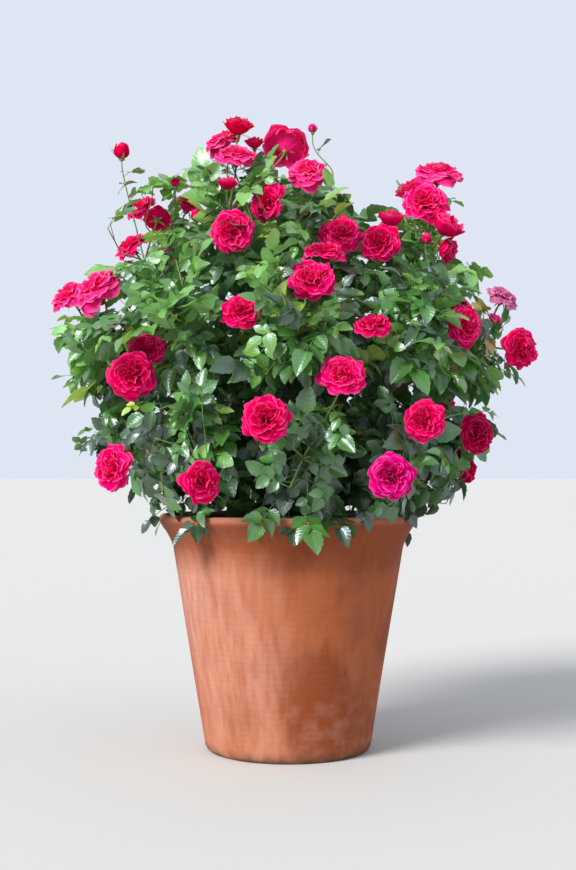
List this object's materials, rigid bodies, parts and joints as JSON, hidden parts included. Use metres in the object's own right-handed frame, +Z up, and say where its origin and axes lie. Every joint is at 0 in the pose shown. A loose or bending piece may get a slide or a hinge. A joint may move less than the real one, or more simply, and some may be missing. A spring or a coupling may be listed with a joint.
{
  "type": "potted rose bush",
  "caption": "Shrub rose in full flower in a large flared terracotta pot: arching canes, a leafy rounded crown and many double rose-red blooms.",
  "frame": {"origin": "centre of the pot's flat underside, where it stands on the ground", "axes": "+Z up along the pot's axis; -Y towards the viewer who sees the crown's best side, with +X to that viewer's right"},
  "size_m": [0.9269, 0.8209, 1.2263],
  "materials": {
    "terracotta": "matte",
    "soil": "matte",
    "bark": "matte",
    "foliage": "satin"
  },
  "bodies": {
    "root": {"bough_back_left_low": "bark", "bough_back_right_low": "bark", "bough_front_left_low": "bark", "bough_front_low": "bark", "bough_front_right_low": "bark", "bough_left_low": "bark", "bough_right_low": "bark", "bud_union": "bark", "cane_back": "bark", "cane_back_left": "bark", "cane_back_right": "bark", "cane_front": "bark", "cane_front_left": "bark", "cane_front_right": "bark", "cane_left": "bark", "cane_right": "bark", "cane_top_back": "bark", "cane_top_front": "bark", "cane_top_front_left": "bark", "cane_top_left": "bark", "cane_top_right": "bark", "foliage_back": "foliage", "foliage_back_left": "foliage", "foliage_back_left_low": "foliage", "foliage_back_right": "foliage", "foliage_back_right_low": "foliage", "foliage_front": "foliage", "foliage_front_left": "foliage", "foliage_front_left_low": "foliage", "foliage_front_low": "foliage", "foliage_front_right": "foliage", "foliage_front_right_low": "foliage", "foliage_left": "foliage", "foliage_left_low": "foliage", "foliage_right": "foliage", "foliage_right_low": "foliage", "foliage_top_back": "foliage", "foliage_top_front": "foliage", "foliage_top_front_left": "foliage", "foliage_top_left": "foliage", "foliage_top_right": "foliage", "pot": "terracotta", "soil": "soil"}
  },
  "joints": []
}
